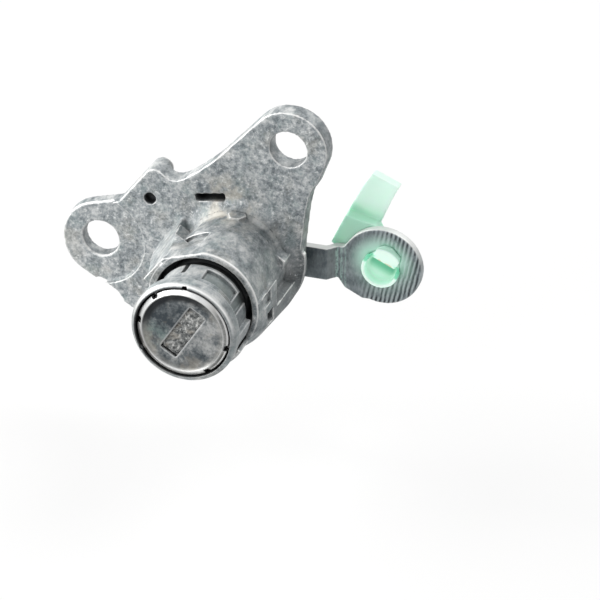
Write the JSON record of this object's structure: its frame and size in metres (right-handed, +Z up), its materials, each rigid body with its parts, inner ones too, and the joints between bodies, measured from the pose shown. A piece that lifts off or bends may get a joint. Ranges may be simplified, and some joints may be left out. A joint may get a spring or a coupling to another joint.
{
  "type": "car door lock cylinder",
  "caption": "Car door lock cylinder: cast housing with bolt ears, sleeve and plug with a shuttered keyway, bent lever and a plastic rod clip.",
  "frame": {"origin": "centre of the lock face, on the key axis", "axes": "+Y along the key axis into the door, +Z up; the face looks toward -Y"},
  "size_m": [0.0648, 0.0435, 0.0452],
  "materials": {
    "cast_zinc": "blotchy satin die casting",
    "turned_zinc": "smooth satin die casting",
    "plug_zinc": "satin",
    "stainless": "polished rim, worn disc",
    "shutter_steel": "worn",
    "plain_steel": "satin",
    "spring_steel": "drawn wire",
    "lever_steel": "rolled, dark",
    "clear_nylon": "pale green, translucent",
    "wafer_brass": "stamped"
  },
  "bodies": {
    "housing_body": {"housing": "cast_zinc", "return_spring": "spring_steel", "thrust_washer": "plain_steel"},
    "core": {"cylinder_sleeve": "turned_zinc", "plug": "plug_zinc", "face_cap": "stainless", "shutter_pin": "plain_steel", "shutter_spring": "spring_steel", "lever": "lever_steel", "e_clip": "spring_steel", "wafer_spring_1": "spring_steel", "wafer_spring_2": "spring_steel", "wafer_spring_3": "spring_steel", "wafer_spring_4": "spring_steel", "wafer_spring_5": "spring_steel", "wafer_spring_6": "spring_steel", "wafer_spring_7": "spring_steel", "wafer_spring_8": "spring_steel"},
    "shutter_body": {"shutter": "shutter_steel"},
    "clip_body": {"rod_clip": "clear_nylon"},
    "wafer_body_1": {"wafer_1": "wafer_brass"},
    "wafer_body_2": {"wafer_2": "wafer_brass"},
    "wafer_body_3": {"wafer_3": "wafer_brass"},
    "wafer_body_4": {"wafer_4": "wafer_brass"},
    "wafer_body_5": {"wafer_5": "wafer_brass"},
    "wafer_body_6": {"wafer_6": "wafer_brass"},
    "wafer_body_7": {"wafer_7": "wafer_brass"},
    "wafer_body_8": {"wafer_8": "wafer_brass"}
  },
  "joints": [
    {"name": "key_turn", "type": "hinge", "parent": "housing_body", "child": "core", "pos_m": [0, 0, 0], "axis": [0, 1, 0], "range_deg": [-60, 60], "stiffness_Nm_per_rad": 0.14},
    {"name": "shutter_flap", "type": "hinge", "parent": "core", "child": "shutter_body", "pos_m": [-0.0013, 0.0023, 0.00084], "axis": [0.5446, 0, 0.8387], "range_deg": [0, 75], "stiffness_Nm_per_rad": 0.0008},
    {"name": "clip_swivel", "type": "hinge", "parent": "core", "child": "clip_body", "pos_m": [0.024, 0.0395, -0.0025], "axis": [0, 1, 0], "range_deg": [-25, 25]},
    {"name": "wafer_1_slide", "type": "slide", "parent": "core", "child": "wafer_body_1", "axis": [0.8387, 0, -0.5446], "range_m": [0, 0.0006], "stiffness_N_per_m": 300, "deforming": ["wafer_spring_1"]},
    {"name": "wafer_2_slide", "type": "slide", "parent": "core", "child": "wafer_body_2", "axis": [-0.8387, 0, 0.5446], "range_m": [0, 0.0006], "stiffness_N_per_m": 300, "deforming": ["wafer_spring_2"]},
    {"name": "wafer_3_slide", "type": "slide", "parent": "core", "child": "wafer_body_3", "axis": [0.8387, 0, -0.5446], "range_m": [0, 0.0006], "stiffness_N_per_m": 300, "deforming": ["wafer_spring_3"]},
    {"name": "wafer_4_slide", "type": "slide", "parent": "core", "child": "wafer_body_4", "axis": [-0.8387, 0, 0.5446], "range_m": [0, 0.0006], "stiffness_N_per_m": 300, "deforming": ["wafer_spring_4"]},
    {"name": "wafer_5_slide", "type": "slide", "parent": "core", "child": "wafer_body_5", "axis": [0.8387, 0, -0.5446], "range_m": [0, 0.0006], "stiffness_N_per_m": 300, "deforming": ["wafer_spring_5"]},
    {"name": "wafer_6_slide", "type": "slide", "parent": "core", "child": "wafer_body_6", "axis": [-0.8387, 0, 0.5446], "range_m": [0, 0.0006], "stiffness_N_per_m": 300, "deforming": ["wafer_spring_6"]},
    {"name": "wafer_7_slide", "type": "slide", "parent": "core", "child": "wafer_body_7", "axis": [0.8387, 0, -0.5446], "range_m": [0, 0.0006], "stiffness_N_per_m": 300, "deforming": ["wafer_spring_7"]},
    {"name": "wafer_8_slide", "type": "slide", "parent": "core", "child": "wafer_body_8", "axis": [-0.8387, 0, 0.5446], "range_m": [0, 0.0006], "stiffness_N_per_m": 300, "deforming": ["wafer_spring_8"]}
  ]
}
